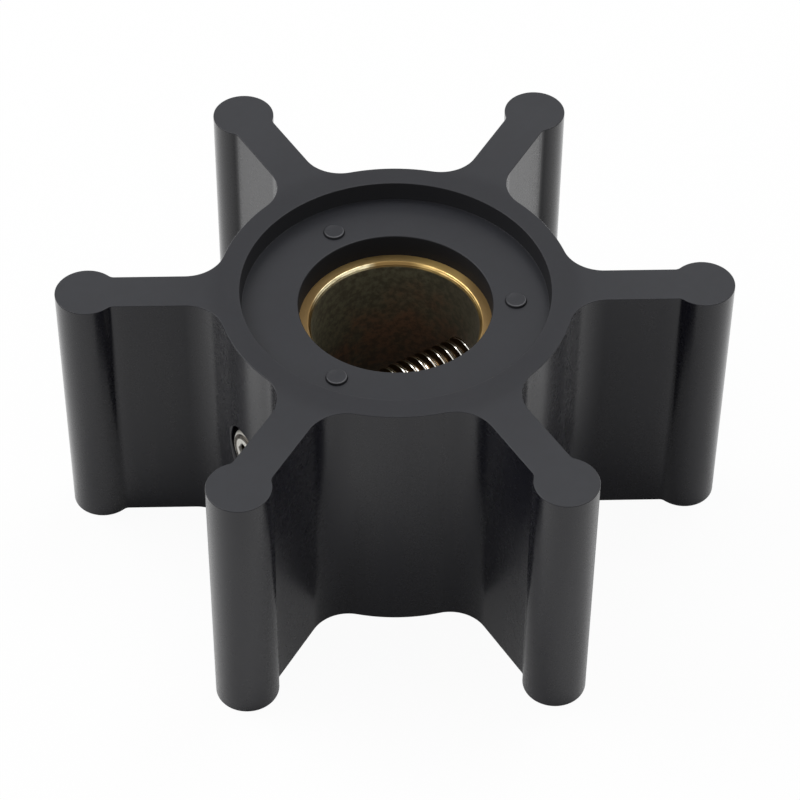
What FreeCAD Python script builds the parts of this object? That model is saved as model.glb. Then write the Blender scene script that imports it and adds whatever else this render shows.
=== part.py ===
"""Flexible pump impeller: a rubber moulding bonded on a brass bush, with a steel drive screw.

Millimetres throughout. The origin is on the bore axis, in the plane of the lower end face,
+Z runs up the bore and +X along the drive screw, away from its socket. One vane points along +Y.
"""
import FreeCAD, Part
import math
import os
import Sketcher

os.makedirs("parts", exist_ok=True)
doc = FreeCAD.newDocument("PumpImpeller")

# Driving sizes, each with the words that say what it is
SIZES = [
    ("tip_dia", 50.8, "diameter over the vane tips, free of the pump"),
    ("width", 22.2, "length of the impeller along its bore"),
    ("vane_count", 6, "number of vanes"),
    ("vane_thick", 3.2, "thickness of a vane between hub and bulb"),
    ("bulb_dia", 4.75, "diameter of the round sealing bulb on a vane's tip"),
    ("root_fillet", 3.0, "radius between a vane's side and the hub"),
    ("bulb_blend", 0.6, "radius between a vane's side and its bulb"),
    ("hub_dia", 26.8, "outer diameter of the hub"),
    ("recess_dia", 23.28, "mouth of the shallow round recess in each end of the hub"),
    ("recess_draft", 0.11, "how far the recess wall leans in from mouth to floor"),
    ("recess_depth", 1.55, "depth of the recess"),
    ("recess_corner", 0.3, "bevel between the recess wall and its floor"),
    ("lip_dia", 14.6, "hole through the rubber lip over the end of the bush"),
    ("bush_inset", 3.5, "end of the bush below the end face of the rubber"),
    ("bush_dia", 18.0, "outer diameter of the bush"),
    ("bore_dia", 12.7, "bore for the pump shaft"),
    ("bore_chamfer", 0.24, "chamfer at each mouth of the bore, measured across"),
    ("bore_chamfer_depth", 0.45, "the same chamfer measured along the bore"),
    ("screw_dia", 4.17, "diameter over the drive screw's thread"),
    ("screw_length", 22.0, "length of the drive screw"),
    ("screw_setback", 0.2, "socket end of the screw below the hub's outer surface"),
    ("screw_chamfer", 0.28, "chamfer at the socket end"),
    ("point_chamfer", 0.5, "chamfer at the point"),
    ("thread_clearance", 0.03, "clearance of the tapped hole and of the point's room over the screw"),
    ("socket_across", 1.98, "hexagon socket across its flats"),
    ("socket_depth", 2.2, "depth of the socket"),
    ("access_dia", 4.85, "hole through the rubber that the screw is driven in by"),
    ("access_round", 0.3, "rounded outer edge of that hole"),
    ("pip_count", 3, "raised pips on the recess floor"),
    ("pip_dia", 1.66, "diameter of a pip"),
    ("pip_height", 0.35, "height of a pip"),
    ("pip_circle_dia", 18.3, "diameter of the circle that the pips stand on"),
]

sheet = doc.addObject("Spreadsheet::Sheet", "Sizes")
for row, (alias, value, words) in enumerate(SIZES, start=1):
    sheet.set(f"A{row}", words)
    sheet.set(f"B{row}", str(value))
    sheet.setAlias(f"B{row}", alias)
doc.recompute()


def size(alias):
    """The value of one cell of the sheet, as a plain number."""
    value = getattr(sheet, alias)
    return float(getattr(value, "Value", value))


def origin_plane(body, role):
    """One of the body's own origin planes."""
    return next(o for o in body.Origin.OriginFeatures if o.Role == role)


def new_body(name, label):
    """An empty body with its own label, at the part's origin."""
    body = doc.addObject("PartDesign::Body", name)
    body.Label = label
    body.Placement = FreeCAD.Placement()
    return body


def new_sketch(body, name, role, lift=None):
    """A sketch on one of the body's origin planes, moved along that plane's normal by an expression."""
    sketch = body.newObject("Sketcher::SketchObject", name)
    sketch.AttachmentSupport = (origin_plane(body, role), "")
    sketch.MapMode = "FlatFace"
    if lift:
        sketch.setExpression("AttachmentOffset.Base.z", lift)
    return sketch


def bind(sketch, number, expression):
    """Ties a dimension of the sketch to the sheet."""
    sketch.setExpression(f"Constraints[{number}]", expression)


def circle(sketch, at, radius, radius_from, height_from=None):
    """A circle on the sketch's vertical axis, its radius and its height tied to the sheet."""
    n = sketch.addGeometry(Part.Circle(FreeCAD.Vector(at[0], at[1], 0), FreeCAD.Vector(0, 0, 1), radius))
    bind(sketch, sketch.addConstraint(Sketcher.Constraint("Radius", n, radius)), radius_from)
    if height_from is None:
        sketch.addConstraint(Sketcher.Constraint("Coincident", n, 3, -1, 1))
    else:
        sketch.addConstraint(Sketcher.Constraint("PointOnObject", n, 3, -2))
        height = sketch.addConstraint(Sketcher.Constraint("DistanceY", -1, 1, n, 3, at[1]))
        bind(sketch, height, height_from)
    return n


def section(sketch, corners):
    """A closed half section for turning about the vertical axis.

    Each corner is (radius, height, radius expression, height expression). A corner whose radius
    expression is None lies on the axis.
    """
    count = len(corners)
    for i, (x, y, _, _) in enumerate(corners):
        nx, ny = corners[(i + 1) % count][:2]
        sketch.addGeometry(Part.LineSegment(FreeCAD.Vector(x, y, 0), FreeCAD.Vector(nx, ny, 0)))
    for i in range(count):
        sketch.addConstraint(Sketcher.Constraint("Coincident", i, 2, (i + 1) % count, 1))
    for i, (x, y, x_from, y_from) in enumerate(corners):
        if x_from is None:
            sketch.addConstraint(Sketcher.Constraint("PointOnObject", i, 1, -2))
        else:
            bind(sketch, sketch.addConstraint(Sketcher.Constraint("DistanceX", -1, 1, i, 1, x)), x_from)
        if y_from is None:
            sketch.addConstraint(Sketcher.Constraint("PointOnObject", i, 1, -1))
        else:
            bind(sketch, sketch.addConstraint(Sketcher.Constraint("DistanceY", -1, 1, i, 1, y)), y_from)


def edges_where(feature, wanted):
    """Names of the feature's edges that the test picks out."""
    return [f"Edge{i}" for i, e in enumerate(feature.Shape.Edges, start=1) if wanted(e)]


def plan_radius(point):
    """Distance of a point from the bore axis."""
    return math.hypot(point.x, point.y)


def upright(edge):
    """Is this a straight edge parallel to the bore?"""
    if len(edge.Vertexes) != 2:
        return False
    a, b = (v.Point for v in edge.Vertexes)
    return abs(a.z - b.z) > 0.5 * width and plan_radius(a - b) < 1e-6


def ring_at(edge, radius, height):
    """Is this a circle about the bore axis with that radius and height?"""
    box = edge.BoundBox
    return (
        box.ZLength < 1e-6
        and abs(box.ZMin - height) < 1e-4
        and all(abs(plan_radius(edge.valueAt(p)) - radius) < 1e-4 for p in edge.ParameterRange)
        and isinstance(edge.Curve, Part.Circle)
        and abs(plan_radius(edge.Curve.Center)) < 1e-4
    )


width = size("width")
half_vane = size("vane_thick") / 2
bulb_radius = size("bulb_dia") / 2
bulb_centre = (size("tip_dia") - size("bulb_dia")) / 2
hub_radius = size("hub_dia") / 2

# Rubber moulding: the hub and one vane, which is then repeated round the bore
rubber = new_body("Rubber", "impeller_rubber")
hub_sketch = new_sketch(rubber, "HubOutline", "XY_Plane")
circle(hub_sketch, (0, 0), hub_radius, "Sizes.hub_dia / 2")
hub = rubber.newObject("PartDesign::Pad", "Hub")
hub.Profile = hub_sketch
hub.setExpression("Length", "Sizes.width")

vane_sketch = new_sketch(rubber, "VaneOutline", "XY_Plane")
inner = hub_radius / 2
neck = bulb_centre - math.sqrt(bulb_radius**2 - half_vane**2)
start = math.atan2(neck - bulb_centre, half_vane)
vane_sketch.addGeometry(Part.LineSegment(FreeCAD.Vector(half_vane, inner, 0), FreeCAD.Vector(half_vane, neck, 0)))
vane_sketch.addGeometry(
    Part.ArcOfCircle(
        Part.Circle(FreeCAD.Vector(0, bulb_centre, 0), FreeCAD.Vector(0, 0, 1), bulb_radius),
        start,
        math.pi - start,
    )
)
vane_sketch.addGeometry(Part.LineSegment(FreeCAD.Vector(-half_vane, neck, 0), FreeCAD.Vector(-half_vane, inner, 0)))
vane_sketch.addGeometry(Part.LineSegment(FreeCAD.Vector(-half_vane, inner, 0), FreeCAD.Vector(half_vane, inner, 0)))
for i in range(4):
    vane_sketch.addConstraint(Sketcher.Constraint("Coincident", i, 2, (i + 1) % 4, 1))
vane_sketch.addConstraint(Sketcher.Constraint("Vertical", 0))
vane_sketch.addConstraint(Sketcher.Constraint("Vertical", 2))
vane_sketch.addConstraint(Sketcher.Constraint("PointOnObject", 1, 3, -2))
vane_sketch.addConstraint(Sketcher.Constraint("Symmetric", 3, 1, 3, 2, -2))
across = vane_sketch.addConstraint(Sketcher.Constraint("DistanceX", 3, 1, 3, 2, 2 * half_vane))
bind(vane_sketch, across, "Sizes.vane_thick")
bulb = vane_sketch.addConstraint(Sketcher.Constraint("Radius", 1, bulb_radius))
bind(vane_sketch, bulb, "Sizes.bulb_dia / 2")
reach = vane_sketch.addConstraint(Sketcher.Constraint("DistanceY", -1, 1, 1, 3, bulb_centre))
bind(vane_sketch, reach, "(Sizes.tip_dia - Sizes.bulb_dia) / 2")
foot = vane_sketch.addConstraint(Sketcher.Constraint("DistanceY", -1, 1, 3, 1, inner))
bind(vane_sketch, foot, "Sizes.hub_dia / 4")
vane = rubber.newObject("PartDesign::Pad", "Vane")
vane.Profile = vane_sketch
vane.setExpression("Length", "Sizes.width")
doc.recompute()

vanes = rubber.newObject("PartDesign::PolarPattern", "Vanes")
vanes.Originals = [vane]
vanes.Axis = (vane_sketch, ["N_Axis"])
vanes.Angle = 360
vanes.setExpression("Occurrences", "Sizes.vane_count")
rubber.Tip = vanes
doc.recompute()

# The concave radius at each vane's root, then the small one at its bulb
roots = rubber.newObject("PartDesign::Fillet", "VaneRoots")
roots.Base = (vanes, edges_where(vanes, lambda e: upright(e) and abs(plan_radius(e.Vertexes[0].Point) - hub_radius) < 1e-3))
roots.setExpression("Radius", "Sizes.root_fillet")
rubber.Tip = roots
doc.recompute()

neck_radius = math.hypot(neck, half_vane)
necks = rubber.newObject("PartDesign::Fillet", "BulbBlends")
necks.Base = (roots, edges_where(roots, lambda e: upright(e) and abs(plan_radius(e.Vertexes[0].Point) - neck_radius) < 1e-3))
necks.setExpression("Radius", "Sizes.bulb_blend")
rubber.Tip = necks
doc.recompute()

# One turned cut makes both recesses, both lips and the seat that the bush fills
RECESS, FLOOR = "Sizes.recess_dia / 2", "Sizes.recess_dia / 2 - Sizes.recess_draft"
LIP, SEAT = "Sizes.lip_dia / 2", "Sizes.bush_dia / 2"
recess_radius = size("recess_dia") / 2
floor_radius = recess_radius - size("recess_draft")
lip_radius, seat_radius = size("lip_dia") / 2, size("bush_dia") / 2
depth, inset = size("recess_depth"), size("bush_inset")
core_sketch = new_sketch(rubber, "CoreSection", "XZ_Plane")
section(
    core_sketch,
    [
        (0, 0, None, None),
        (recess_radius, 0, RECESS, None),
        (floor_radius, depth, FLOOR, "Sizes.recess_depth"),
        (lip_radius, depth, LIP, "Sizes.recess_depth"),
        (lip_radius, inset, LIP, "Sizes.bush_inset"),
        (seat_radius, inset, SEAT, "Sizes.bush_inset"),
        (seat_radius, width - inset, SEAT, "Sizes.width - Sizes.bush_inset"),
        (lip_radius, width - inset, LIP, "Sizes.width - Sizes.bush_inset"),
        (lip_radius, width - depth, LIP, "Sizes.width - Sizes.recess_depth"),
        (floor_radius, width - depth, FLOOR, "Sizes.width - Sizes.recess_depth"),
        (recess_radius, width, RECESS, "Sizes.width"),
        (0, width, None, "Sizes.width"),
    ],
)
core = rubber.newObject("PartDesign::Groove", "Core")
core.Profile = core_sketch
core.ReferenceAxis = (core_sketch, ["V_Axis"])
core.Angle = 360
rubber.Tip = core
doc.recompute()

corners = rubber.newObject("PartDesign::Chamfer", "RecessCorners")
corners.Base = (
    core,
    edges_where(core, lambda e: ring_at(e, floor_radius, depth) or ring_at(e, floor_radius, width - depth)),
)
corners.setExpression("Size", "Sizes.recess_corner")
rubber.Tip = corners
doc.recompute()

# Access hole for the drive screw, through one side of the hub only
access_radius = size("access_dia") / 2
access_sketch = new_sketch(rubber, "AccessOutline", "YZ_Plane")
circle(access_sketch, (0, width / 2), access_radius, "Sizes.access_dia / 2", "Sizes.width / 2")
access = rubber.newObject("PartDesign::Pocket", "AccessHole")
access.Profile = access_sketch
access.setExpression("Length", "Sizes.hub_dia / 2 + Sizes.root_fillet")
access.Reversed = False
rubber.Tip = access
doc.recompute()
if access.Shape.Volume >= corners.Shape.Volume - 1.0:
    raise RuntimeError("the access hole cut nothing")


def at_access_mouth(edge):
    """Is this the edge of the access hole on the hub's outside?"""
    first, last = edge.ParameterRange
    points = [edge.valueAt(first + (last - first) * k / 4) for k in range(5)]
    return all(
        abs(math.hypot(p.y, p.z - width / 2) - access_radius) < 1e-3
        and p.x < 0
        and abs(plan_radius(p) - hub_radius) < 1e-3
        for p in points
    )


mouth = rubber.newObject("PartDesign::Fillet", "AccessMouth")
mouth.Base = (access, edges_where(access, at_access_mouth))
mouth.setExpression("Radius", "Sizes.access_round")
rubber.Tip = mouth
doc.recompute()

# Room round the screw's point in the rubber, where a longer screw or a thinner hub brings it past the bush
tapped_radius = size("screw_dia") / 2 + size("thread_clearance")
point_chamfer = size("point_chamfer")
room_end = size("screw_length") + size("screw_setback") - hub_radius + size("thread_clearance")
TAPPED = "Sizes.screw_dia / 2 + Sizes.thread_clearance"
ROOM_END = "Sizes.screw_length + Sizes.screw_setback - Sizes.hub_dia / 2 + Sizes.thread_clearance"
MIDDLE = "Sizes.width / 2"
room_sketch = new_sketch(rubber, "PointRoomSection", "XZ_Plane")
section(
    room_sketch,
    [
        (0, width / 2, None, MIDDLE),
        (room_end, width / 2, ROOM_END, MIDDLE),
        (room_end, width / 2 + tapped_radius - point_chamfer, ROOM_END, f"{MIDDLE} + {TAPPED} - Sizes.point_chamfer"),
        (room_end - point_chamfer, width / 2 + tapped_radius, f"{ROOM_END} - Sizes.point_chamfer", f"{MIDDLE} + {TAPPED}"),
        (0, width / 2 + tapped_radius, None, f"{MIDDLE} + {TAPPED}"),
    ],
)
axis_line = room_sketch.addGeometry(
    Part.LineSegment(FreeCAD.Vector(0, width / 2, 0), FreeCAD.Vector(1, width / 2, 0)), True
)
room_sketch.addConstraint(Sketcher.Constraint("Coincident", axis_line, 1, 0, 1))
room_sketch.addConstraint(Sketcher.Constraint("PointOnObject", axis_line, 2, 0))
room_sketch.addConstraint(Sketcher.Constraint("DistanceX", axis_line, 1, axis_line, 2, 1))
room = rubber.newObject("PartDesign::Groove", "PointRoom")
room.Profile = room_sketch
room.ReferenceAxis = (room_sketch, ["Axis0"])
room.Angle = 360
rubber.Tip = room
doc.recompute()

# Raised pips on the floor of the upper recess, the first in line with the vane on +Y
pip_sketch = new_sketch(rubber, "PipOutline", "XY_Plane", "Sizes.width - Sizes.recess_depth")
circle(pip_sketch, (0, size("pip_circle_dia") / 2), size("pip_dia") / 2, "Sizes.pip_dia / 2", "Sizes.pip_circle_dia / 2")
pip = rubber.newObject("PartDesign::Pad", "Pip")
pip.Profile = pip_sketch
pip.setExpression("Length", "Sizes.pip_height")
doc.recompute()
pips = rubber.newObject("PartDesign::PolarPattern", "Pips")
pips.Originals = [pip]
pips.Axis = (pip_sketch, ["N_Axis"])
pips.Angle = 360
pips.setExpression("Occurrences", "Sizes.pip_count")
rubber.Tip = pips
doc.recompute()

# Brass bush: a turned ring with a chamfer at each mouth, tapped right across for the screw
bush = new_body("Bush", "brass_bush")
BORE, MOUTH = "Sizes.bore_dia / 2", "Sizes.bore_dia / 2 + Sizes.bore_chamfer"
bore_radius, chamfer, chamfer_depth = size("bore_dia") / 2, size("bore_chamfer"), size("bore_chamfer_depth")
bush_sketch = new_sketch(bush, "BushSection", "XZ_Plane")
section(
    bush_sketch,
    [
        (bore_radius, inset + chamfer_depth, BORE, "Sizes.bush_inset + Sizes.bore_chamfer_depth"),
        (bore_radius + chamfer, inset, MOUTH, "Sizes.bush_inset"),
        (seat_radius, inset, SEAT, "Sizes.bush_inset"),
        (seat_radius, width - inset, SEAT, "Sizes.width - Sizes.bush_inset"),
        (bore_radius + chamfer, width - inset, MOUTH, "Sizes.width - Sizes.bush_inset"),
        (bore_radius, width - inset - chamfer_depth, BORE, "Sizes.width - Sizes.bush_inset - Sizes.bore_chamfer_depth"),
    ],
)
ring = bush.newObject("PartDesign::Revolution", "BushRing")
ring.Profile = bush_sketch
ring.ReferenceAxis = (bush_sketch, ["V_Axis"])
ring.Angle = 360
doc.recompute()

tap_sketch = new_sketch(bush, "TappedOutline", "YZ_Plane", "-Sizes.bush_dia")
circle(tap_sketch, (0, width / 2), tapped_radius, TAPPED, "Sizes.width / 2")
tapped = bush.newObject("PartDesign::Pocket", "TappedHole")
tapped.Profile = tap_sketch
tapped.setExpression("Length", "2 * Sizes.bush_dia")
tapped.Reversed = True
bush.Tip = tapped
doc.recompute()
if tapped.Shape.Volume >= ring.Shape.Volume - 1.0:
    raise RuntimeError("the tapped hole cut nothing")

# Drive screw: headless, with a hexagon socket at the end that shows and a chamfered point
screw = new_body("Screw", "drive_screw")
START = "-(Sizes.hub_dia / 2 - Sizes.screw_setback)"
screw_radius = size("screw_dia") / 2
start_x = -(hub_radius - size("screw_setback"))
end_x = start_x + size("screw_length")
shank_sketch = new_sketch(screw, "ShankOutline", "YZ_Plane", START)
circle(shank_sketch, (0, width / 2), screw_radius, "Sizes.screw_dia / 2", "Sizes.width / 2")
shank = screw.newObject("PartDesign::Pad", "Shank")
shank.Profile = shank_sketch
shank.setExpression("Length", "Sizes.screw_length")
doc.recompute()


def rim_at(edge, x):
    """Is this the circular edge of the screw at that place along it?"""
    return isinstance(edge.Curve, Part.Circle) and abs(edge.BoundBox.XMin - x) < 1e-4 and edge.BoundBox.XLength < 1e-4


rim = screw.newObject("PartDesign::Chamfer", "SocketEndChamfer")
rim.Base = (shank, edges_where(shank, lambda e: rim_at(e, start_x)))
rim.setExpression("Size", "Sizes.screw_chamfer")
screw.Tip = rim
doc.recompute()
point = screw.newObject("PartDesign::Chamfer", "PointChamfer")
point.Base = (rim, edges_where(rim, lambda e: rim_at(e, end_x)))
point.setExpression("Size", "Sizes.point_chamfer")
screw.Tip = point
doc.recompute()

socket_sketch = new_sketch(screw, "SocketOutline", "YZ_Plane", START)
corner_radius = size("socket_across") / math.sqrt(3)
tips = [
    FreeCAD.Vector(
        corner_radius * math.cos(math.radians(60 * k + 30)),
        width / 2 + corner_radius * math.sin(math.radians(60 * k + 30)),
        0,
    )
    for k in range(6)
]
for k in range(6):
    socket_sketch.addGeometry(Part.LineSegment(tips[k], tips[(k + 1) % 6]))
round_about = circle(
    socket_sketch, (0, width / 2), corner_radius, "Sizes.socket_across / sqrt(3)", "Sizes.width / 2"
)
socket_sketch.toggleConstruction(round_about)
for k in range(6):
    socket_sketch.addConstraint(Sketcher.Constraint("Coincident", k, 2, (k + 1) % 6, 1))
    socket_sketch.addConstraint(Sketcher.Constraint("PointOnObject", k, 1, round_about))
for k in range(1, 6):
    socket_sketch.addConstraint(Sketcher.Constraint("Equal", 0, k))
socket_sketch.addConstraint(Sketcher.Constraint("Vertical", 5))
socket = screw.newObject("PartDesign::Pocket", "Socket")
socket.Profile = socket_sketch
socket.setExpression("Length", "Sizes.socket_depth")
socket.Reversed = True
screw.Tip = socket
doc.recompute()
if socket.Shape.Volume >= point.Shape.Volume - 0.1:
    raise RuntimeError("the socket cut nothing")

doc.recompute()

# Nothing is written unless every object is sound
for thing in doc.Objects:
    if {"Invalid", "Error"} & set(thing.State):
        raise RuntimeError(f"{thing.Name} failed: {thing.State}")
bodies = (rubber, bush, screw)
for body in bodies:
    shape = body.Shape
    if shape.isNull() or not shape.isValid() or len(shape.Solids) != 1:
        raise RuntimeError(f"{body.Label} isn't one sound solid")
for body in bodies:
    body.Shape.exportStep(f"parts/{body.Label}.step")
    box = body.Shape.BoundBox
    print(
        f"{body.Label}: {body.Shape.Volume:.1f} mm3, X {box.XMin:.2f} to {box.XMax:.2f}, "
        f"Y {box.YMin:.2f} to {box.YMax:.2f}, Z {box.ZMin:.2f} to {box.ZMax:.2f}"
    )
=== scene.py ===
"""Flexible pump impeller: a rubber moulding on a brass bush, with a steel drive screw across the bore.

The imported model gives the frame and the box. Each mesh is shaped in millimetres, with the bore axis on Z, the
drive screw along X and one vane on +Y, and is brought to metres at the end.
"""
from __future__ import annotations

import logging
import math
from dataclasses import dataclass, field
from enum import Enum
from typing import Any, Callable, Iterable, Mapping, Sequence, Union

import bmesh
import bpy
from bmesh.types import BMEdge, BMesh, BMVert
from mathutils import Matrix, Vector

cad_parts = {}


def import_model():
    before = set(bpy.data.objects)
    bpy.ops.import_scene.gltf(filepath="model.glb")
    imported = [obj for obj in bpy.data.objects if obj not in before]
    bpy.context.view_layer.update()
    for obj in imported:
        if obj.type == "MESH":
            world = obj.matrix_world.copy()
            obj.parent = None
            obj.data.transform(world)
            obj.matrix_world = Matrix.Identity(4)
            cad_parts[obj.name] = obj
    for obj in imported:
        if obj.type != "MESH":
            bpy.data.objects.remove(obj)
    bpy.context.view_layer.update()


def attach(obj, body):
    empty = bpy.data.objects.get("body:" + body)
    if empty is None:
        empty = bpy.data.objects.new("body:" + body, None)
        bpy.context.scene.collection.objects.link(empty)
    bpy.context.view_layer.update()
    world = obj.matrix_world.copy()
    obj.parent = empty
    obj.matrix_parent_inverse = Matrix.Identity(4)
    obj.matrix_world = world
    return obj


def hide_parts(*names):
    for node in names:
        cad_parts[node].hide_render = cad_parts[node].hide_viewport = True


log = logging.getLogger("pump_impeller")

Colour = tuple[float, float, float, float]
Direction = tuple[float, float, float]
Band = tuple[float, ...]
Stretch = tuple[float, float, float, float]
Corners = Sequence[tuple[float, float]]
Value = Union["Signal", float, Sequence[float]]

MM = 0.001
PER_METRE = 1000.0
ORIGIN = (0.0, 0.0, 0.0)
X_AXIS = Vector((1.0, 0.0, 0.0))
Y_AXIS = Vector((0.0, 1.0, 0.0))
Z_AXIS = Vector((0.0, 0.0, 1.0))
WHITE: Colour = (1.0, 1.0, 1.0, 1.0)

# Lengths in millimetres: vertices this near are one, and one this near a level lies on it.
MERGE = 1e-4
NEAR = 1e-3
# Places that both a shape and its finish need, in millimetres.
PIP_CIRCLE = 9.03
SCREW_START = -13.2
SCREW_MIDDLE = 11.1
# Steps round a shape that is turned about the screw's axis to cut another.
TOOL_STEPS = 72


def linear(level: int) -> float:
    """One part of a screen colour, 0 to 255, as the linear value that a shader takes."""
    share = level / 255
    return share / 12.92 if share <= 0.04045 else ((share + 0.055) / 1.055) ** 2.4


def srgb(red: int, green: int, blue: int) -> Colour:
    """A screen colour as a linear one with an alpha of 1."""
    return (linear(red), linear(green), linear(blue), 1.0)


class Cut(Enum):
    """How one shape meets another."""

    TAKE_AWAY = "DIFFERENCE"
    KEEP_COMMON = "INTERSECT"


class Workpiece:
    """A mesh in the making, in millimetres."""

    def __init__(self) -> None:
        """Start with an empty mesh."""
        self.bm: BMesh = bmesh.new()

    def everything(self) -> list[Any]:
        """All vertices, edges and faces."""
        return self.bm.verts[:] + self.bm.edges[:] + self.bm.faces[:]

    def shift(self, geom: Iterable[Any], by: Vector) -> None:
        """Move the vertices among some parts of the mesh."""
        bmesh.ops.translate(self.bm, verts=[g for g in geom if isinstance(g, BMVert)], vec=by)

    def _spin(
        self, geom: list[Any], steps: int, degrees: float, centre: Sequence[float], axis: Vector, **how: Any
    ) -> dict[str, Any]:
        """Take parts of the mesh round an axis in steps."""
        angle, cent = math.radians(degrees), Vector(centre)
        return bmesh.ops.spin(self.bm, geom=geom, cent=cent, axis=axis, angle=angle, steps=steps, **how)

    def point(self, at: Sequence[float]) -> BMVert:
        """Add a single vertex at a place."""
        return bmesh.ops.create_vert(self.bm, co=Vector(at))["vert"][0]

    def line(self, start: BMVert, to: Sequence[float]) -> BMVert:
        """Draw a straight line from a vertex to a place, and hand back the vertex there."""
        made = bmesh.ops.extrude_vert_indiv(self.bm, verts=[start])["verts"][0]
        self.shift([made], Vector(to) - made.co)
        return made

    def arc(
        self, start: BMVert, centre: Sequence[float], degrees: float, steps: int, axis: Vector = Z_AXIS
    ) -> BMVert:
        """Draw an arc from a vertex.

        Args:
            start: The vertex that the arc starts at.
            centre: The arc's centre.
            degrees: The angle that the arc turns through, positive to the left.
            steps: Number of straight steps along the arc.
            axis: Direction that the arc turns about.

        Returns:
            The vertex at the arc's end.
        """
        swept = self._spin([start], steps, degrees, centre, axis)
        return next(v for v in swept["geom_last"] if isinstance(v, BMVert))

    def path(self, points: Sequence[Sequence[float]], closed: bool = False) -> list[BMEdge]:
        """Draw a chain of straight lines.

        Args:
            points: The chain's corners in order.
            closed: Whether the last corner is joined to the first.

        Returns:
            The chain's edges.
        """
        before = set(self.bm.edges)
        first = last = self.point(points[0])
        for place in points[1:]:
            last = self.line(last, place)
        if closed:
            bmesh.ops.contextual_create(self.bm, geom=[first, last])
        return [e for e in self.bm.edges if e not in before]

    def turn(
        self,
        edges: Sequence[BMEdge],
        steps: int,
        degrees: float = 360.0,
        centre: Sequence[float] = ORIGIN,
        axis: Vector = Z_AXIS,
        advance: float = 0.0,
    ) -> None:
        """Sweep a chain of edges round an axis.

        Args:
            edges: The chain to sweep.
            steps: Number of steps round.
            degrees: The angle swept.
            centre: A point on the axis.
            axis: Direction of the axis.
            advance: Distance moved along the axis over the whole sweep, as in a screw.
        """
        geom = list({v for e in edges for v in e.verts}) + list(edges)
        whole = degrees == 360.0 and advance == 0.0
        self._spin(geom, steps, degrees, centre, axis, dvec=axis * (advance / steps), use_merge=whole)

    def repeat_round(self, copies: int, degrees: float) -> None:
        """Copy the whole mesh round the bore axis, through an angle up to the last copy."""
        self._spin(self.everything(), copies, degrees, ORIGIN, Z_AXIS, use_duplicate=True)

    def merge(self) -> None:
        """Join vertices that lie on one another."""
        bmesh.ops.remove_doubles(self.bm, verts=self.bm.verts[:], dist=MERGE)

    def outward(self) -> None:
        """Turn every face outwards."""
        bmesh.ops.recalc_face_normals(self.bm, faces=self.bm.faces[:])

    def round_edges(self, wanted: Callable[[BMEdge], bool], radius: float, segments: int) -> None:
        """Round some edges.

        Args:
            wanted: The test that picks them out.
            radius: Radius of the rounding.
            segments: Number of strips across it.
        """
        bmesh.ops.bevel(
            self.bm,
            geom=[e for e in self.bm.edges if wanted(e)],
            offset=radius,
            offset_type="OFFSET",
            segments=segments,
            profile=0.5,
            affect="EDGES",
            material=-1,
            clamp_overlap=True,
        )

    def sharpen(self, degrees: float) -> None:
        """Shade smoothly, with a crease wherever faces meet at more than so many degrees."""
        limit = math.radians(degrees)
        for face in self.bm.faces:
            face.smooth = True
        for edge in self.bm.edges:
            edge.smooth = len(edge.link_faces) == 2 and edge.calc_face_angle(0.0) < limit

    def to_metres(self) -> None:
        """Bring the mesh to metres."""
        bmesh.ops.scale(self.bm, vec=Vector((MM, MM, MM)), verts=self.bm.verts[:])

    def as_object(self, name: str, keep: bool = True) -> bpy.types.Object:
        """Bring the mesh to metres and give it an object at the origin.

        Args:
            name: Name of the object and of its mesh.
            keep: Whether to log its faces, as for a piece of the part and not for a tool or the floor.

        Returns:
            The new object.
        """
        self.to_metres()
        mesh = bpy.data.meshes.new(name)
        self.bm.to_mesh(mesh)
        self.bm.free()
        thing = bpy.data.objects.new(name, mesh)
        bpy.context.scene.collection.objects.link(thing)
        if keep:
            log.info("%s: %d faces", name, len(mesh.polygons))
        return thing


def turned_bar(outline: Corners, middle: float) -> Workpiece:
    """Turn a solid about a line along X at a height, from the (x, radius) corners of its outline."""
    bar = Workpiece()
    edges = bar.path([(x, 0.0, middle + radius) for x, radius in outline])
    bar.turn(edges, TOOL_STEPS, 360.0, (0.0, 0.0, middle), X_AXIS)
    bar.merge()
    bar.outward()
    return bar


def shape_with(thing: bpy.types.Object, tool: Workpiece, how: Cut) -> None:
    """Cut an object with another shape, and throw the tool away.

    Args:
        thing: The object that is cut.
        tool: The shape that cuts it, in millimetres.
        how: Whether the tool's space is taken away or is all that stays.
    """
    cutter = tool.as_object("cutter", keep=False)
    modifier = thing.modifiers.new("cut", "BOOLEAN")
    modifier.object = cutter
    modifier.operation = how.value
    modifier.solver = "EXACT"
    graph = bpy.context.evaluated_depsgraph_get()
    mesh = bpy.data.meshes.new_from_object(thing.evaluated_get(graph), depsgraph=graph)
    thing.modifiers.clear()
    old, thing.data = thing.data, mesh
    name = old.name
    bpy.data.meshes.remove(old)
    mesh.name = name
    spare = cutter.data
    bpy.data.objects.remove(cutter)
    bpy.data.meshes.remove(spare)


def smooth_object(thing: bpy.types.Object, degrees: float) -> None:
    """Shade a cut object smoothly, with creases and with flats that stay flat.

    Args:
        thing: The object to shade.
        degrees: The angle above which an edge stays sharp.
    """
    piece = Workpiece()
    piece.bm.from_mesh(thing.data)
    bmesh.ops.remove_doubles(piece.bm, verts=piece.bm.verts[:], dist=MERGE * MM)
    piece.sharpen(degrees)
    piece.bm.to_mesh(thing.data)
    piece.bm.free()
    weighted = thing.modifiers.new("flats stay flat", "WEIGHTED_NORMAL")
    weighted.keep_sharp = True


def wear(thing: bpy.types.Object, finish: Finish) -> None:
    """Give an object one finish all over."""
    thing.data.materials.clear()
    thing.data.materials.append(finish.material())


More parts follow.
